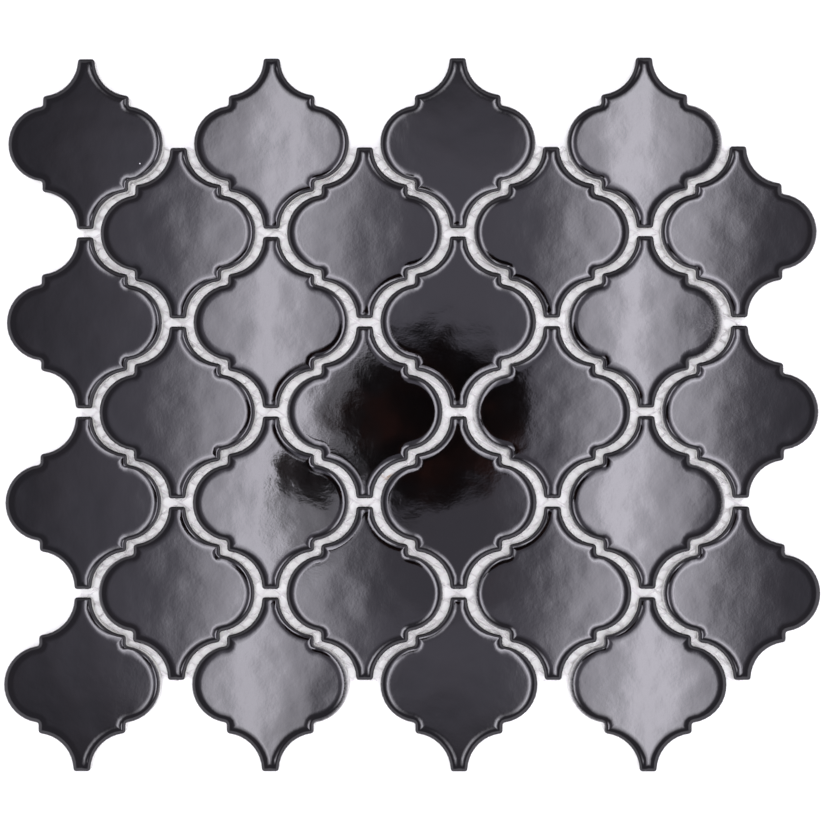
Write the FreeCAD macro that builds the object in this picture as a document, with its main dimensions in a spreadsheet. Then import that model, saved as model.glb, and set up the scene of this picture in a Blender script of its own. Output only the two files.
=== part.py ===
import FreeCAD, Part
import math
import os
import Sketcher

# Mosaic sheet of lantern-shaped glazed tiles, held together by a net laid across their backs.
# The origin is under the middle of the sheet, on the floor. X runs across the sheet, Y along
# its columns of tiles, and Z up out of the glazed faces.

os.makedirs("parts", exist_ok=True)
doc = FreeCAD.newDocument("lantern_tile_sheet")

# Driving dimensions, in millimetres and degrees
dimensions = {
    "tile_width": 53.8,            # over the two side lobes
    "tile_thickness": 5.0,
    "lobe_radius": 13.15,          # the round ends on the left and right
    "step_rise": 3.59,             # from the top of a lobe to the floor of a scoop
    "scoop_drop": 0.21,            # from the tip down to the scoop's centre
    "tip_width": 5.7,              # the flat ends at the top and bottom
    "side_joint": 2.55,            # between a tip and the lobes on each side of it
    "tip_joint": 2.9,              # between two tips in a column
    "wall_joint": 2.44,            # between the short straight walls of two neighbours
    "step_joint": 1.21,            # between a scoop's floor and the lobe that lies in it
    "shoulder": 0.9,               # in from the outline, and down from the glazed face
    "strand_width": 0.8,
    "strand_thickness": 0.2,
    "lower_strand_spacing": 4.22,
    "lower_strand_slope": 34.5,    # rising to the right
    "lower_strand_shift": 1.15,    # from the sheet's middle to the nearest strand
    "upper_strand_spacing": 4.08,
    "upper_strand_slope": 32.0,    # falling to the right
    "upper_strand_shift": 0.44,
    "net_margin_across": 1.45,     # past the centre lines of the outer columns
    "net_margin_along": 0.95,      # past the tips of the short columns
}
tile_columns = 8
tile_rows = 4                      # every second column is half a step up and one tile short

sheet = doc.addObject("Spreadsheet::Sheet", "Dimensions")
for row, (alias, size) in enumerate(dimensions.items(), start=1):
    sheet.set(f"A{row}", alias)
    sheet.set(f"B{row}", str(size))
    sheet.setAlias(f"B{row}", alias)
doc.recompute()

# Sizes that follow from the driving ones
half_pitch_along = "(2 * Dimensions.lobe_radius + Dimensions.step_rise + Dimensions.step_joint)"
half_pitch_across = "((Dimensions.tile_width + Dimensions.tip_width) / 2 + Dimensions.side_joint)"
half_height = f"({half_pitch_along} - Dimensions.tip_joint / 2)"
lobe_radius = "Dimensions.lobe_radius"
lobe_centre = "(Dimensions.tile_width / 2 - Dimensions.lobe_radius)"
scoop_centre_y = f"({half_height} - Dimensions.scoop_drop)"
scoop_radius = f"({scoop_centre_y} - Dimensions.lobe_radius - Dimensions.step_rise)"
scoop_centre_x = f"(Dimensions.tip_width / 2 + {scoop_radius})"
step_wall = f"(({half_pitch_across} - Dimensions.wall_joint) / 2)"
strand_width = "Dimensions.strand_width"
strand_thickness = "Dimensions.strand_thickness"
net_thickness = f"(2 * {strand_thickness})"
tile_top = f"({net_thickness} + Dimensions.tile_thickness)"
net_width = f"({tile_columns - 1} * {half_pitch_across} + 2 * Dimensions.net_margin_across)"
net_length = (f"({2 * (tile_rows - 2)} * {half_pitch_along} + 2 * {half_height}"
              " + 2 * Dimensions.net_margin_along)")
net_diagonal = f"sqrt({net_width} ^ 2 + {net_length} ^ 2)"


def amount(expression):
    return float(sheet.evalExpression(expression))


def origin_plane(body, role):
    return next(part for part in body.Origin.OriginFeatures if part.Role == role)


def new_sketch(body, name, height):
    sketch = body.newObject("Sketcher::SketchObject", name)
    sketch.AttachmentSupport = (origin_plane(body, "XY_Plane"), [""])
    sketch.MapMode = "FlatFace"
    sketch.setExpression("AttachmentOffset.Base.z", height)
    return sketch


def bind(sketch, name, expression, *constraint):
    index = sketch.addConstraint(Sketcher.Constraint(*constraint, amount(expression)))
    sketch.renameConstraint(index, name)
    sketch.setExpression(f"Constraints.{name}", expression)


def arc(start, end, centre, radius):
    middle = centre + ((start + end) / 2 - centre).normalize() * radius
    return Part.Arc(start, middle, end)


# The upper right quarter of a tile's outline: half of the tip, the hollow scoop, the step's wall
# and half of the lobe
def quarter_outline(body, height):
    sketch = new_sketch(body, "outline", height)
    lobe = FreeCAD.Vector(amount(lobe_centre), 0, 0)
    scoop = FreeCAD.Vector(amount(scoop_centre_x), amount(scoop_centre_y), 0)
    wall = amount(step_wall)
    top = amount(half_height)

    def circle_y(centre, radius, x, side):
        return centre.y + side * math.sqrt(radius ** 2 - (x - centre.x) ** 2)

    tip_x = scoop.x - math.sqrt(amount(scoop_radius) ** 2 - (top - scoop.y) ** 2)
    middle = FreeCAD.Vector(0, 0, 0)
    tip_middle = FreeCAD.Vector(0, top, 0)
    tip_end = FreeCAD.Vector(tip_x, top, 0)
    wall_top = FreeCAD.Vector(wall, circle_y(scoop, amount(scoop_radius), wall, -1), 0)
    wall_foot = FreeCAD.Vector(wall, circle_y(lobe, amount(lobe_radius), wall, 1), 0)
    lobe_end = FreeCAD.Vector(lobe.x + amount(lobe_radius), 0, 0)

    axis_y, tip, scoop_arc, wall_line, lobe_arc, axis_x = sketch.addGeometry([
        Part.LineSegment(middle, tip_middle),
        Part.LineSegment(tip_middle, tip_end),
        arc(tip_end, wall_top, scoop, amount(scoop_radius)),
        Part.LineSegment(wall_top, wall_foot),
        arc(lobe_end, wall_foot, lobe, amount(lobe_radius)),
        Part.LineSegment(lobe_end, middle),
    ], False)
    origin, start, end, centre = -1, 1, 2, 3
    sketch.addConstraint([
        Sketcher.Constraint("Coincident", axis_y, start, origin, start),
        Sketcher.Constraint("Coincident", axis_y, end, tip, start),
        Sketcher.Constraint("Coincident", tip, end, scoop_arc, start),
        Sketcher.Constraint("Coincident", scoop_arc, end, wall_line, start),
        Sketcher.Constraint("Coincident", wall_line, end, lobe_arc, end),
        Sketcher.Constraint("Coincident", lobe_arc, start, axis_x, start),
        Sketcher.Constraint("Coincident", axis_x, end, axis_y, start),
        Sketcher.Constraint("Vertical", axis_y),
        Sketcher.Constraint("Horizontal", tip),
        Sketcher.Constraint("Vertical", wall_line),
        Sketcher.Constraint("Horizontal", axis_x),
        Sketcher.Constraint("PointOnObject", lobe_arc, centre, origin),
    ])
    bind(sketch, "scoop_radius", scoop_radius, "Radius", scoop_arc)
    bind(sketch, "lobe_radius", lobe_radius, "Radius", lobe_arc)
    bind(sketch, "half_height", half_height, "DistanceY", axis_y, start, axis_y, end)
    bind(sketch, "step_wall", step_wall, "DistanceX", origin, start, wall_line, start)
    bind(sketch, "lobe_centre", lobe_centre, "DistanceX", origin, start, lobe_arc, centre)
    bind(sketch, "scoop_centre_x", scoop_centre_x, "DistanceX", origin, start, scoop_arc, centre)
    bind(sketch, "scoop_centre_y", scoop_centre_y, "DistanceY", origin, start, scoop_arc, centre)
    return sketch


# One tile: a wall that stands straight up from the outline, and a shoulder that falls away all
# round the flat glazed face
def make_tile():
    body = doc.addObject("PartDesign::Body", "tile")
    slab = body.newObject("PartDesign::Pad", "slab")
    slab.Profile = quarter_outline(body, net_thickness)
    slab.setExpression("Length", "Dimensions.tile_thickness")
    doc.recompute()
    for name, plane in (("mirrored_across", "YZ_Plane"), ("mirrored_along", "XZ_Plane")):
        mirrored = body.newObject("PartDesign::Mirrored", name)
        mirrored.TransformMode = "Whole shape"
        mirrored.MirrorPlane = (origin_plane(body, plane), [""])
        body.Tip = mirrored
        doc.recompute()
    rim = [f"Edge{number}" for number, edge in enumerate(mirrored.Shape.Edges, start=1)
           if abs(edge.BoundBox.ZMin - amount(tile_top)) < 1e-6]
    shoulder = body.newObject("PartDesign::Chamfer", "shoulder")
    shoulder.Base = (mirrored, rim)
    shoulder.setExpression("Size", "Dimensions.shoulder")
    body.Tip = shoulder
    doc.recompute()
    return body


# The tiles of one column, evenly spaced and centred on the X axis
def lay_column(tile, column):
    tiles = tile_rows - column % 2
    for row in range(tiles):
        laid = doc.addObject("App::Link", f"tile_column_{column + 1}_row_{row + 1}")
        laid.LinkedObject = tile
        laid.setExpression("Placement.Base.x", f"{column - (tile_columns - 1) / 2} * {half_pitch_across}")
        laid.setExpression("Placement.Base.y", f"{tiles - 1 - 2 * row} * {half_pitch_along}")
        yield laid


# One layer of the net: parallel strands of yarn, slanting across the sheet and cut at its edges
def lay_strands(name, height, turn, spacing, shift):
    uncut = doc.addObject("PartDesign::Body", f"{name}_uncut")
    uncut.Placement.Rotation = FreeCAD.Rotation(FreeCAD.Vector(0, 0, 1), amount(turn))
    uncut.setExpression("Placement.Rotation.Angle", turn)
    count = f"ceil({net_diagonal} / {spacing})"
    first = f"{shift} + floor({count} / 2) * {spacing} + {strand_width} / 2"

    sketch = new_sketch(uncut, f"{name}_strand", height)
    reach = amount(net_diagonal) / 2
    low = -amount(first)
    high = low + amount(strand_width)
    corners = [FreeCAD.Vector(-reach, low, 0), FreeCAD.Vector(reach, low, 0),
               FreeCAD.Vector(reach, high, 0), FreeCAD.Vector(-reach, high, 0)]
    bottom, right, top, left = sketch.addGeometry(
        [Part.LineSegment(corners[side - 1], corners[side]) for side in (1, 2, 3, 0)], False)
    origin, y_axis, start, end = -1, -2, 1, 2
    sketch.addConstraint([
        Sketcher.Constraint("Coincident", bottom, end, right, start),
        Sketcher.Constraint("Coincident", right, end, top, start),
        Sketcher.Constraint("Coincident", top, end, left, start),
        Sketcher.Constraint("Coincident", left, end, bottom, start),
        Sketcher.Constraint("Vertical", right),
        Sketcher.Constraint("Vertical", left),
        Sketcher.Constraint("Horizontal", top),
        Sketcher.Constraint("Symmetric", bottom, start, bottom, end, y_axis),
    ])
    bind(sketch, "length", net_diagonal, "DistanceX", bottom, start, bottom, end)
    bind(sketch, "width", strand_width, "DistanceY", right, start, right, end)
    bind(sketch, "first", first, "DistanceY", bottom, start, origin, start)
    strand = uncut.newObject("PartDesign::Pad", f"{name}_pad")
    strand.Profile = sketch
    strand.setExpression("Length", strand_thickness)
    doc.recompute()
    strands = uncut.newObject("PartDesign::LinearPattern", f"{name}_pattern")
    strands.Originals = [strand]
    strands.Direction = (sketch, ["V_Axis"])
    strands.Mode = "Spacing"
    strands.setExpression("Offset", spacing)
    strands.setExpression("Occurrences", count)
    uncut.Tip = strands
    layer = doc.addObject("Part::Common", name)
    layer.Base = uncut
    layer.Tool = net_area
    return layer


tile = make_tile()
pieces = [laid for column in range(tile_columns) for laid in lay_column(tile, column)]

net_area = doc.addObject("Part::Box", "net_area")
net_area.setExpression("Length", net_width)
net_area.setExpression("Width", net_length)
net_area.setExpression("Height", net_thickness)
net_area.setExpression("Placement.Base.x", f"-{net_width} / 2")
net_area.setExpression("Placement.Base.y", f"-{net_length} / 2")
pieces.append(lay_strands("net_strands_lower", "0", "Dimensions.lower_strand_slope",
                          "Dimensions.lower_strand_spacing", "Dimensions.lower_strand_shift"))
pieces.append(lay_strands("net_strands_upper", strand_thickness, "180 - Dimensions.upper_strand_slope",
                          "Dimensions.upper_strand_spacing", "Dimensions.upper_strand_shift"))
doc.recompute()

failed = [piece.Name for piece in doc.Objects if "Invalid" in piece.State or "Error" in piece.State]
if failed:
    raise RuntimeError(f"not built: {failed}")
for piece in pieces:
    shape = Part.getShape(piece)
    if shape.isNull() or not shape.isValid() or not shape.Solids:
        raise RuntimeError(f"{piece.Label} has no sound solid")
    shape.exportStep(f"parts/{piece.Label}.step")
print(f"{len(pieces)} parts written")
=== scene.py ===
import math
import random

import bmesh
import bpy
from mathutils import Euler, Matrix, Vector


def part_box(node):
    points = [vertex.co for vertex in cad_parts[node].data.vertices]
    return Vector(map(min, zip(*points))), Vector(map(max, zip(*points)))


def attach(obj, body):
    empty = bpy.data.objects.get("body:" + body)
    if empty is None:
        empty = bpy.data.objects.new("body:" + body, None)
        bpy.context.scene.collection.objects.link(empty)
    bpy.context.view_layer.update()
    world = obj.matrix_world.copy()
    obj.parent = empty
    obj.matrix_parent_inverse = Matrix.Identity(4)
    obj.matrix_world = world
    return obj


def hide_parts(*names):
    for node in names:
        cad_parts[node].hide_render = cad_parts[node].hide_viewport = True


mm = 0.001
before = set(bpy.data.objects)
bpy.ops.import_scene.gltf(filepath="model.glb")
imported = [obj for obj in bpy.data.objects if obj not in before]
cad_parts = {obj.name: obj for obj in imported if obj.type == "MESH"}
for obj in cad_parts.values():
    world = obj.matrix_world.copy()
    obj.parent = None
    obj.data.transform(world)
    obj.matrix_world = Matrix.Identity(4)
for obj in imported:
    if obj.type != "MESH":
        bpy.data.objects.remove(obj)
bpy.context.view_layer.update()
print("frame loaded:", len(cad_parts), "nodes")


# Shader helpers

noiseSpan = (0.3, 0.7)     # nearly all of a noise lies between these values


# One output socket of a node tree, which ordinary arithmetic can use
class Wire:
    def __init__(self, tree, socket=None):
        self.tree = tree
        self.socket = socket

    def node(self, kind, settings=None, values=None, output=0):
        made = self.tree.nodes.new("ShaderNode" + kind)
        for name, value in (settings or {}).items():
            setattr(made, name, value)
        for name, value in (values or {}).items():
            if isinstance(value, Wire):
                self.tree.links.new(value.socket, made.inputs[name])
            else:
                made.inputs[name].default_value = value
        return Wire(self.tree, made.outputs[output] if made.outputs else None)

    def math(self, operation, *values):
        return self.node("Math", {"operation": operation}, dict(enumerate(values)))

    def __add__(self, other):
        return self.math("ADD", self, other)

    __radd__ = __add__

    def __sub__(self, other):
        return self.math("SUBTRACT", self, other)

    def __rsub__(self, other):
        return self.math("SUBTRACT", other, self)

    def __mul__(self, other):
        return self.math("MULTIPLY", self, other)

    __rmul__ = __mul__

    def __truediv__(self, other):
        return self.math("DIVIDE", self, other)

    def __rtruediv__(self, other):
        return self.math("DIVIDE", other, self)

    def __pow__(self, other):
        return self.math("POWER", self, other)

    def __abs__(self):
        return self.math("ABSOLUTE", self)

    def step(self, low, high):
        return self.node("MapRange", {"interpolation_type": "SMOOTHSTEP"},
                         {"Value": self, "From Min": low, "From Max": high})

    def mix(self, first, second):
        return self.node("Mix", {"data_type": "RGBA"}, {0: self, 6: first, 7: second}, output=2)

    def axes(self):
        return [self.node("SeparateXYZ", values={0: self}, output=axis) for axis in range(3)]

    def stretch(self, *scales):
        return self.node("VectorMath", {"operation": "MULTIPLY"}, {0: self, 1: scales})

    # One inside the inner radius around a spot and nothing outside the outer one, all in mm
    def near(self, spot, inner, outer):
        away = self.node("VectorMath", {"operation": "DISTANCE"}, {0: self, 1: Vector(spot) * mm}, output=1)
        return 1 - away.step(inner * mm, outer * mm)

    def tinted(self, colour):
        return self.node("VectorMath", {"operation": "SCALE"}, {0: colour, "Scale": self})

    def noise(self, scale, detail=2.0, roughness=0.5):
        return self.node("TexNoise", values={"Vector": self, "Scale": scale, "Detail": detail,
                                             "Roughness": roughness})

    def bump(self, height):
        return self.node("Bump", values={"Height": self, "Distance": height * mm})

    # A shader goes to its material's or its world's output
    def feed(self, kind):
        self.node(kind, values={"Surface": self})


def emptyTree(owner):
    owner.use_nodes = True
    owner.node_tree.nodes.clear()
    return Wire(owner.node_tree)


def newMaterial(name):
    material = bpy.data.materials.new(name)
    return material, emptyTree(material)


# Mesh helpers

def everything(mesh):
    return mesh.verts[:] + mesh.edges[:] + mesh.faces[:]


def onlyVerts(geometry):
    return [item for item in geometry if isinstance(item, bmesh.types.BMVert)]


def closeMesh(mesh):
    openEdges = [edge for edge in mesh.edges if edge.is_boundary]
    bmesh.ops.holes_fill(mesh, edges=openEdges, sides=0)
    bmesh.ops.recalc_face_normals(mesh, faces=mesh.faces[:])


def newObject(name, mesh, *materials):
    made = bpy.data.objects.new(name, bpy.data.meshes.new(name))
    mesh.to_mesh(made.data)
    mesh.free()
    for material in materials:
        made.data.materials.append(material)
    bpy.context.scene.collection.objects.link(made)
    return made


# Lantern tiles: black glaze over a pale clay body

glazing = {
    "ripple": (80, 1.0, 0.35),               # noise scale, detail and roughness of the slow waves
    "mottleScale": 450,
    "grainScale": 1500,
    "relief": 0.075,                         # mm of bump for a share of one
    "shares": (1.3, 0.11, 0.04, 0.5),        # of ripple, mottle, grain and the whole face's dishing
    "covered": (4.1, 5.1),                   # mm up, where the glaze starts to cover the body, and fully does
    "ragged": 0.4,                           # how far the grain moves these heights
    "tipRun": 0.8,                           # and how much lower the glaze runs at the tips
    "bare": ((0.56, 0.56, 0.52, 1), (0.68, 0.68, 0.64, 1)),      # at the noise's low and high end
    "black": ((0.0008, 0.0006, 0.0006, 1), (0.0016, 0.0009, 0.0008, 1)),
    "roughness": (0.045, 0.02, 0.4),         # of the glaze, and what its grain and the bare body add
    "ior": 1.5,
    "speck": ((-94.0, 86.2, 5.4), 0.12, 0.3),        # place, and the radii it fades between
    "speckColour": (0.7, 0.7, 0.7, 1),
}


def makeGlaze():
    material, wire = newMaterial("blackGlaze")
    place = wire.node("TexCoord", output="Object")
    height = place.axes()[2]
    across, along = wire.node("UVMap", {"uv_map": "fromCentre"}).axes()[:2]
    bowl = across ** 2 + along ** 2
    ripple = place.noise(*glazing["ripple"])
    mottle = place.noise(glazing["mottleScale"])
    grain = place.noise(glazing["grainScale"])
    rippleShare, mottleShare, grainShare, bowlShare = glazing["shares"]
    relief = ripple * rippleShare + mottle * mottleShare + grain * grainShare + bowl * bowlShare
    # The pale body shows where the glaze thins out below the rim, lower down toward the tips
    start, end = glazing["covered"]
    depth = height + grain * glazing["ragged"] * mm + along ** 2 * glazing["tipRun"] * mm
    bare = 1 - depth.step(start * mm, end * mm)
    body = grain.step(*noiseSpan).mix(*glazing["bare"])
    black = ripple.step(*noiseSpan).mix(*glazing["black"])
    speck = place.near(*glazing["speck"])
    polish, grainRoughness, bareRoughness = glazing["roughness"]
    wire.node("BsdfPrincipled", values={
        "Base Color": speck.mix(bare.mix(black, body), glazing["speckColour"]),
        "Roughness": polish + grain * grainRoughness + bare * bareRoughness,
        "IOR": glazing["ior"],
        "Normal": relief.bump(glazing["relief"]),
    }).feed("OutputMaterial")
    return material


clayBack = {
    "grain": (1800, 4.0, 0.6),               # noise scale, detail and roughness
    "patchScale": 90,
    "grainShare": 0.6,                       # of the colour's change, and the patches have the rest
    "clay": ((0.52, 0.52, 0.48, 1), (0.66, 0.66, 0.61, 1)),
    "roughness": (0.75, 0.2),                # least, and what the grain adds
    "relief": 0.05,
}


def makeClay():
    material, wire = newMaterial("bareClay")
    place = wire.node("TexCoord", output="Object")
    grain = place.noise(*clayBack["grain"])
    patches = place.noise(clayBack["patchScale"])
    shade = grain * clayBack["grainShare"] + patches * (1 - clayBack["grainShare"])
    least, added = clayBack["roughness"]
    wire.node("BsdfPrincipled", values={
        "Base Color": shade.step(*noiseSpan).mix(*clayBack["clay"]),
        "Roughness": least + grain * added,
        "Normal": grain.bump(clayBack["relief"]),
    }).feed("OutputMaterial")
    return material


# In mm from the tile's middle, for the outline's upper right quarter
lantern = {
    "halfHeight": 29.65,
    "tipRound": 0.9,
    "scoopCentre": Vector((15.55, 29.44)),
    "scoopRadius": 12.70,
    "wall": 14.93,
    "stepRound": 1.2,
    "softest": 0.3,                          # roundness that the step keeps further in
    "rootCentre": Vector((15.83, 13.895)),   # of the round between the wall and the lobe
    "rootRound": 0.9,
    "lobeCentre": Vector((13.75, 0)),
    "bottom": 0.4,
    "top": 5.4,
    "foot": ((0.35, 0), (0.08, 0.12), (0, 0.4)),     # inset and rise of the eased lower edge
    "lip": (0.52, 0.4),                      # height and reach of the glaze's quick turn at the rim
    "crown": (0.36, 3.35),                   # and of its slow fall away from the flat face
    "crownShare": (0.88, 1.12),              # how full the crown is, from tile to tile
    "insets": (0, 0.06, 0.15, 0.3, 0.5, 0.75, 1.05, 1.4, 1.8, 2.3, 2.8, 3.35),
    "flatStart": 0.4,                        # from the last inset to the flat face
    "arcSteps": {"tip": 3, "scoop": 9, "step": 3, "root": 3, "lobe": 9},
    "least": 0.02,                           # smallest round or gap that is drawn
    "weld": 0.03,                            # vertices closer than this become one
    "backHeight": 0.05,                      # up to here a face belongs to the unglazed back
    "lean": 0.003,                           # steepest lean of a tile that isn't named in leans
    "sinkReach": (27, 29),                   # across and along, where a leaning tile's high edge is
}


def bearing(start, end):
    return math.atan2(end.y - start.y, end.x - start.x)


# Where two circles cross, the crossing further left
def crossing(first, firstRadius, second, secondRadius):
    apart = (second - first).length
    toward = (firstRadius ** 2 - secondRadius ** 2 + apart ** 2) / (2 * apart)
    aside = math.sqrt(firstRadius ** 2 - toward ** 2)
    forward = (second - first) / apart
    sideways = Vector((-forward.y, forward.x))
    ends = [first + forward * toward + sideways * side for side in (aside, -aside)]
    return min(ends, key=lambda end: end.x)


# One quarter of the outline, drawn in from the edge by inset: a pen vertex is swung and pulled along it
def drawQuarter(mesh, inset, height):
    scoop = lantern["scoopCentre"]
    root = lantern["rootCentre"]
    lobe = lantern["lobeCentre"]
    least = lantern["least"]

    tipRound = max(lantern["tipRound"] - inset, least)
    reach = lantern["scoopRadius"] + inset + tipRound
    tip = Vector((0, lantern["halfHeight"] - inset - tipRound))
    tip.x = scoop.x - math.sqrt(max(reach ** 2 - (tip.y - scoop.y) ** 2, 0))
    if tip.x < least:                 # the two scoops meet below the tip this far in
        tip = Vector((least, scoop.y - math.sqrt(reach ** 2 - (scoop.x - least) ** 2)))

    stepRound = max(lantern["stepRound"] - inset, lantern["softest"])
    reach = lantern["scoopRadius"] + inset + stepRound
    step = Vector((lantern["wall"] - inset - stepRound, 0))
    step.y = scoop.y - math.sqrt(reach ** 2 - (step.x - scoop.x) ** 2)
    foot = Vector((lantern["wall"] - inset, root.y))
    leaving = 0
    if step.y < root.y + least:       # no straight wall is left this far in
        step = crossing(scoop, reach, root, lantern["rootRound"] + inset + stepRound)
        foot = root + (step - root).normalized() * (lantern["rootRound"] + inset)
        leaving = bearing(step, foot)

    before = set(mesh.edges)
    pen = mesh.verts.new((0, tip.y + tipRound, height))

    def pull(x, y):
        nonlocal pen
        pen = bmesh.ops.extrude_vert_indiv(mesh, verts=[pen])["verts"][0]
        pen.co = (x, y, height)

    def swing(centre, part, start, end):
        nonlocal pen
        made = bmesh.ops.spin(mesh, geom=[pen], cent=(centre.x, centre.y, height), axis=(0, 0, 1),
                              angle=end - start, steps=lantern["arcSteps"][part])
        pen = onlyVerts(made["geom_last"])[0]

    pull(tip.x, tip.y + tipRound)
    swing(tip, "tip", math.pi / 2, bearing(tip, scoop))
    swing(scoop, "scoop", bearing(tip, scoop) + math.pi, bearing(scoop, step) % math.tau)
    swing(step, "step", bearing(step, scoop), leaving)
    pull(foot.x, foot.y)
    swing(root, "root", bearing(root, foot) % math.tau, bearing(root, lobe) % math.tau)
    swing(lobe, "lobe", bearing(lobe, root), 0)
    return [edge for edge in mesh.edges if edge not in before]


# How far the glaze lies below the flat face
def glazeDrop(inset, fullness):
    height, reach = lantern["lip"]
    drop = height * math.exp(-inset / reach)
    height, reach = lantern["crown"]
    return drop + fullness * height * max(1 - inset / reach, 0) ** 2


def makeLantern(fullness):
    mesh = bmesh.new()
    bottom = lantern["bottom"]
    top = lantern["top"]
    insets = lantern["insets"]
    flat = glazeDrop(insets[-1], fullness)
    levels = [(inset, bottom + rise) for inset, rise in lantern["foot"]]
    levels += [(inset, top - glazeDrop(inset, fullness) + flat) for inset in insets]
    levels.append((insets[-1] + lantern["flatStart"], top))
    quarters = [drawQuarter(mesh, inset, height) for inset, height in levels]
    for lower, upper in zip(quarters, quarters[1:]):
        bmesh.ops.bridge_loops(mesh, edges=lower + upper)
    for axis in "XY":
        bmesh.ops.mirror(mesh, geom=everything(mesh), axis=axis, merge_dist=0.001)
    bmesh.ops.remove_doubles(mesh, verts=mesh.verts[:], dist=lantern["weld"])
    closeMesh(mesh)
    place = mesh.loops.layers.uv.new("fromCentre")
    for face in mesh.faces:
        face.smooth = True
        face.material_index = 1 if face.calc_center_median().z < bottom + lantern["backHeight"] else 0
        for loop in face.loops:
            loop[place].uv = loop.vert.co.xy / lantern["halfHeight"]
    return mesh


# Leans and bows a tile's face over its flat back, sunk so that no edge of it rises
def leanOver(mesh, leanX, leanY, bend):
    bottom = lantern["bottom"]
    reachX, reachY = lantern["sinkReach"]
    sink = abs(leanX) * reachX + abs(leanY) * reachY
    for vert in mesh.verts:
        raised = (vert.co.z - bottom) / (lantern["top"] - bottom)
        x, y = vert.co.xy
        vert.co.z += raised * (leanX * x + leanY * y + bend * x ** 2 / 2 - sink)


# Slope across and its change per mm, for tiles whose reflections give them away
leans = {
    "tile_column_2_row_1": (-0.0016, 0),
    "tile_column_2_row_2": (-0.0006, 0),
    "tile_column_2_row_3": (0.004, 0),
    "tile_column_3_row_1": (0, 0),
    "tile_column_3_row_2": (-0.004, -0.0003),
    "tile_column_3_row_3": (-0.003, 0),
    "tile_column_3_row_4": (-0.007, -0.0004),
    "tile_column_4_row_1": (-0.004, 0),
    "tile_column_4_row_2": (0.004, 0),
    "tile_column_4_row_3": (-0.0035, 0),
    "tile_column_5_row_2": (0, 0),
    "tile_column_5_row_3": (0, 0),
    "tile_column_6_row_1": (0.0025, 0),
    "tile_column_6_row_2": (0.009, 0),
    "tile_column_6_row_3": (0.0075, 0),
    "tile_column_7_row_1": (-0.007, -0.0004),
    "tile_column_7_row_2": (-0.007, -0.0009),
    "tile_column_7_row_3": (-0.007, -0.0003),
    "tile_column_7_row_4": (0.009, 0),
    "tile_column_8_row_3": (0.0035, 0),
}
glaze = makeGlaze()
clay = makeClay()
chance = random.Random(11)
for node in sorted(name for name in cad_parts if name.startswith("tile_")):
    low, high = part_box(node)
    centre = (low + high) / 2
    mesh = makeLantern(chance.uniform(*lantern["crownShare"]))
    leanX, leanY = (chance.uniform(-1, 1) * lantern["lean"] for axis in "XY")
    bend = 0
    if node in leans:
        leanX, bend = leans[node]
        leanY = 0
    leanOver(mesh, leanX, leanY, bend)
    bmesh.ops.scale(mesh, vec=(mm, mm, mm), verts=mesh.verts)
    bmesh.ops.translate(mesh, vec=(centre.x, centre.y, 0), verts=mesh.verts)
    piece = newObject(node.replace("tile", "lantern"), mesh, glaze, clay)
    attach(piece, "root")
    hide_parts(node)
print("lantern tiles:", len(piece.data.polygons), "faces each")


# The net: two layers of slanting yarns

net = {
    "width": 0.8,
    "thickness": 0.2,
    "sides": 8,
    "layers": {                              # turned in degrees, the middle strand shifted off the centre
        "net_strands_lower": {"turn": 34.5, "spacing": 4.22, "shift": -1.15},
        "net_strands_upper": {"turn": 148.0, "spacing": 4.08, "shift": -0.44},
    },
    "fibreScale": 9000,
    "fibreStretch": 0.12,                    # the fibres' pace along the yarn, against one across it
    "clumpScale": 450,
    "fibreShare": 0.65,                      # of the colour's change, and the clumps have the rest
    "white": ((0.825, 0.817, 0.783, 1), (0.89, 0.882, 0.85, 1)),
    "roughness": (0.75, 0.2),                # least, and what the clumps add
    "shine": 0.2,                            # specular level, low for a matt yarn
    "relief": 0.05,
    "stains": ((-8.4, -22.0, 0.2), (-4.9, 13.9, 0.2)),
    "stainRadii": (0.4, 2.6),
    "stainClumps": (0.2, 0.6),               # the clumps that take the stain, from not at all to fully
    "stainColour": (0.52, 0.40, 0.27, 1),
}


def makeYarn(name, turn):
    material, wire = newMaterial(name)
    place = wire.node("TexCoord", output="Object")
    along = wire.node("VectorRotate", {"rotation_type": "Z_AXIS"}, {"Vector": place, "Angle": -turn})
    fibres = along.stretch(net["fibreStretch"], 1.0, 1.0).noise(net["fibreScale"])
    clumps = along.noise(net["clumpScale"])
    shade = fibres * net["fibreShare"] + clumps * (1 - net["fibreShare"])
    colour = shade.step(*noiseSpan).mix(*net["white"])
    for spot in net["stains"]:
        stain = place.near(spot, *net["stainRadii"]) * clumps.step(*net["stainClumps"])
        colour = stain.mix(colour, net["stainColour"])
    least, added = net["roughness"]
    wire.node("BsdfPrincipled", values={
        "Base Color": colour,
        "Roughness": least + clumps * added,
        "Specular IOR Level": net["shine"],
        "Normal": fibres.bump(net["relief"]),
    }).feed("OutputMaterial")
    return material


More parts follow.
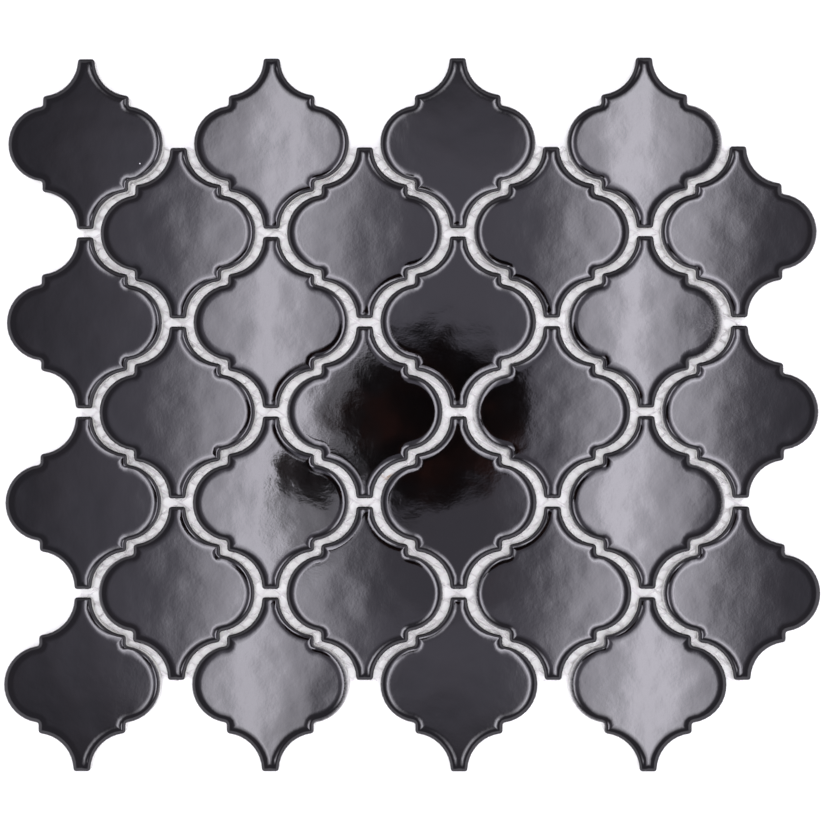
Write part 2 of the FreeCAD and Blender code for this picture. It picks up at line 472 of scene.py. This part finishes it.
def makeStrands(node, turn, spacing, shift):
    low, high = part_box(node)
    reach = (high - low).length / mm / 2 + spacing
    turned = math.radians(turn)
    sides = net["sides"]
    mesh = bmesh.new()
    bmesh.ops.create_cone(mesh, cap_ends=False, segments=sides, radius1=0.5, radius2=0.5, depth=2 * reach)
    bmesh.ops.rotate(mesh, matrix=Matrix.Rotation(math.pi / sides, 3, "Z"), verts=mesh.verts)
    bmesh.ops.scale(mesh, vec=(net["thickness"], net["width"], 1), verts=mesh.verts)
    bmesh.ops.rotate(mesh, matrix=Matrix.Rotation(math.pi / 2, 3, "Y"), verts=mesh.verts)
    bmesh.ops.translate(mesh, vec=(0, shift, 0), verts=mesh.verts)
    strand = everything(mesh)
    for count in range(1, int(reach / spacing) + 1):
        for side in (-count, count):
            copied = bmesh.ops.duplicate(mesh, geom=strand)["geom"]
            bmesh.ops.translate(mesh, vec=(0, side * spacing, 0), verts=onlyVerts(copied))
    bmesh.ops.rotate(mesh, matrix=Matrix.Rotation(turned, 3, "Z"), verts=mesh.verts)
    bmesh.ops.translate(mesh, vec=(0, 0, (low.z + high.z) / 2 / mm), verts=mesh.verts)
    # The strands are cut off along the net's four edges
    for corner, outward in ((high, (1, 0, 0)), (high, (0, 1, 0)), (low, (-1, 0, 0)), (low, (0, -1, 0))):
        bmesh.ops.bisect_plane(mesh, geom=everything(mesh), dist=0.0001,
                               plane_co=corner / mm, plane_no=outward, clear_outer=True)
    closeMesh(mesh)
    bmesh.ops.scale(mesh, vec=(mm, mm, mm), verts=mesh.verts)
    for face in mesh.faces:
        face.smooth = len(face.verts) == 4     # all but the ends
    piece = newObject(node.replace("strands", "yarns"), mesh, makeYarn(node + "Yarn", turned))
    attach(piece, "root")
    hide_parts(node)


for node, layer in net["layers"].items():
    makeStrands(node, **layer)
print("net laid")


# Stage: floor, two soft strip lights, the dark camera overhead, and the room's glow, in metres

stripTint = (1.0, 0.975, 1.07)
roomTint = (1.0, 0.955, 1.18)


def lightColour(glow, dim):
    return glow.node("VectorMath", {"operation": "ADD"}, {0: glow.tinted(stripTint), 1: dim.tinted(roomTint)})


def stagePlane(name, height, size, material):
    mesh = bmesh.new()
    bmesh.ops.create_grid(mesh, x_segments=1, y_segments=1, size=size / 2)
    plane = newObject(name, mesh, material)
    plane.location.z = height
    return plane


floor = {
    "height": -0.00005,                      # just clear of the net
    "size": 6,
    "white": (0.86, 0.87, 0.82, 1),
}


def makeFloor():
    material, wire = newMaterial("whiteFloor")
    wire.node("BsdfDiffuse", values={"Color": floor["white"]}).feed("OutputMaterial")
    stagePlane("floor", floor["height"], floor["size"], material)


lights = {
    "height": 1.5,
    "size": 1.5,
    "turn": -2.8,                            # degrees
    "strips": ((-0.182, 1.0), (0.258, 1.15)),        # place across and share of the brightness
    "face": (4.1, 0.060, 0.182),             # brightness, and where it starts and ends to fade
    "core": (5.8, 0.044),                    # the brighter middle line, and its reach
    "middle": 0.06,                          # place along
    "ends": (0.40, 0.66),                    # where the strips start and end to fade along
    "dim": (0.4, 0.9),                       # behind the strips, and added around the middle
    "dimAcross": (0.30, 0.56),               # where that starts and ends to fade
    "dimAlong": (0.26, 0.48),
}


# Two soft strips side by side in one dim panel
def makeLights():
    material, wire = newMaterial("lightPanel")
    across, along = wire.node("TexCoord", output="Object").axes()[:2]
    lengthwise = abs(along - lights["middle"])
    face, fadeStart, fadeEnd = lights["face"]
    core, reach = lights["core"]

    def strip(place, share):
        away = abs(across - place)
        even = face * (1 - away.step(fadeStart, fadeEnd)) ** 2
        return share * (even + core / (1 + (away / reach) ** 2) ** 2)

    glow = sum(strip(*values) for values in lights["strips"]) * (1 - lengthwise.step(*lights["ends"]))
    middle = (1 - abs(across).step(*lights["dimAcross"])) * (1 - lengthwise.step(*lights["dimAlong"]))
    behind, added = lights["dim"]
    dim = behind + middle * added
    wire.node("Emission", values={"Color": lightColour(glow, dim)}).feed("OutputMaterial")
    panel = stagePlane("lightPanel", lights["height"], lights["size"], material)
    panel.rotation_euler.z = math.radians(lights["turn"])
    panel.visible_camera = False


shade = {
    "height": 0.62,
    "size": 0.3,
    "camera": ((0.004, 0.019), (0.064, 0.062)),      # centre and half size
    "boom": ((-0.071, -0.019), (0.026, 0.017)),
    "edge": (0.8, 1.3),                      # where their dark starts and ends to fade
    # Painted shade: half-clear dark ovals that dim the reflected strips around the camera's patch
    "paintedShades": (                               # and how much of what is behind them they hide
        ((-0.050, 0.026), (0.027, 0.034), 0.7),
        ((-0.0735, -0.046), (0.024, 0.035), 0.55),
        ((0.014, -0.060), (0.055, 0.060), 0.35),
    ),
    "paintedShadeEdge": (0.4, 1.9),
    "raggedNoise": (45, 3.0),                # scale and detail
    "ragged": 1.2,                           # how far the noise moves the edges
    "glintScale": 28,
    "glintSpan": (0.5, 0.75),
    "glints": ((0.002, 0.002, 0.002, 1), (0.30, 0.09, 0.06, 1)),
}


# The camera and the end of its boom overhead, seen only as a dark patch in the glaze, with soft half-clear
# ovals of painted shade that dim the strips' reflections nearby
def makeCameraShade():
    material, wire = newMaterial("cameraBlack")
    place = wire.node("TexCoord", output="Object")
    across, along = place.axes()[:2]

    def oval(centre, half):
        return ((across - centre[0]) / half[0]) ** 2 + ((along - centre[1]) / half[1]) ** 2

    outward = across.math("MINIMUM", oval(*shade["camera"]), oval(*shade["boom"]))
    ragged = (place.noise(*shade["raggedNoise"]) - 0.5) * shade["ragged"]
    solid = 1 - (outward + ragged).step(*shade["edge"])
    # Painted shade over the reflections: each half-clear oval hides part of the light behind it
    for centre, half, hidden in shade["paintedShades"]:
        paintedShade = hidden * (1 - (oval(centre, half) + ragged).step(*shade["paintedShadeEdge"]))
        solid = solid.math("MAXIMUM", solid, paintedShade)
    glints = place.noise(shade["glintScale"]).step(*shade["glintSpan"]).mix(*shade["glints"])
    wire.node("MixShader", values={
        0: solid,
        1: wire.node("BsdfTransparent"),
        2: wire.node("Emission", values={"Color": glints}),
    }).feed("OutputMaterial")
    plane = stagePlane("cameraShade", shade["height"], shade["size"], material)
    plane.visible_camera = False
    plane.visible_diffuse = False
    plane.visible_shadow = False


# Directions on a unit sphere: x to the right, y to the back, z up
room = {
    "ring": (0.80, 0.88),                    # the lit walls start and end to fade at these heights
    "ringTilt": 0.05,                        # and reach that much higher on the right
    "ringFoot": 0.45,                        # their share of brightness near the ground
    "ringRise": (0.1, 0.45),                 # which grows to one between these heights
    "brightness": 1.45,
    "loss": (0.5, 0.7),                      # toward the back, plain and squared
    "dim": 0.4,                              # the rest of the room
    "dimLoss": 0.25,                         # which gets that much darker
    "dimBack": (0.3, 0.9),                   # between these places toward the back
    "backdrop": (1, 1, 1, 1),                # all that the camera itself sees past the floor
}


def makeRoom():
    world = bpy.data.worlds.new("room")
    bpy.context.scene.world = world
    wire = emptyTree(world)
    x, y, z = wire.node("TexCoord", output="Generated").axes()
    foot = room["ringFoot"]
    ring = 1 - (z - x * room["ringTilt"]).step(*room["ring"])
    ring = ring * (foot + z.step(*room["ringRise"]) * (1 - foot))
    plain, squared = room["loss"]
    glow = ring * (room["brightness"] - y * plain - y ** 2 * squared)
    dim = room["dim"] - y.step(*room["dimBack"]) * room["dimLoss"]
    seen = wire.node("LightPath", output="Is Camera Ray")
    colour = seen.mix(lightColour(glow, dim), room["backdrop"])
    wire.node("Background", values={"Color": colour}).feed("OutputWorld")


makeFloor()
makeLights()
makeCameraShade()
makeRoom()
print("stage lit")


# Camera

view = {
    "lens": 75.49,
    "sensor": 36,
    "place": (5.71, -22.53, 600),            # mm
    "turn": (2.150, 0.518, -0.053),          # degrees
}

camera = bpy.data.objects.new("camera", bpy.data.cameras.new("camera"))
camera.data.lens = view["lens"]
camera.data.sensor_width = view["sensor"]
camera.location = [distance * mm for distance in view["place"]]
camera.rotation_euler = Euler([math.radians(angle) for angle in view["turn"]])
bpy.context.scene.collection.objects.link(camera)
bpy.context.scene.camera = camera
bpy.context.scene.view_settings.view_transform = "Standard"
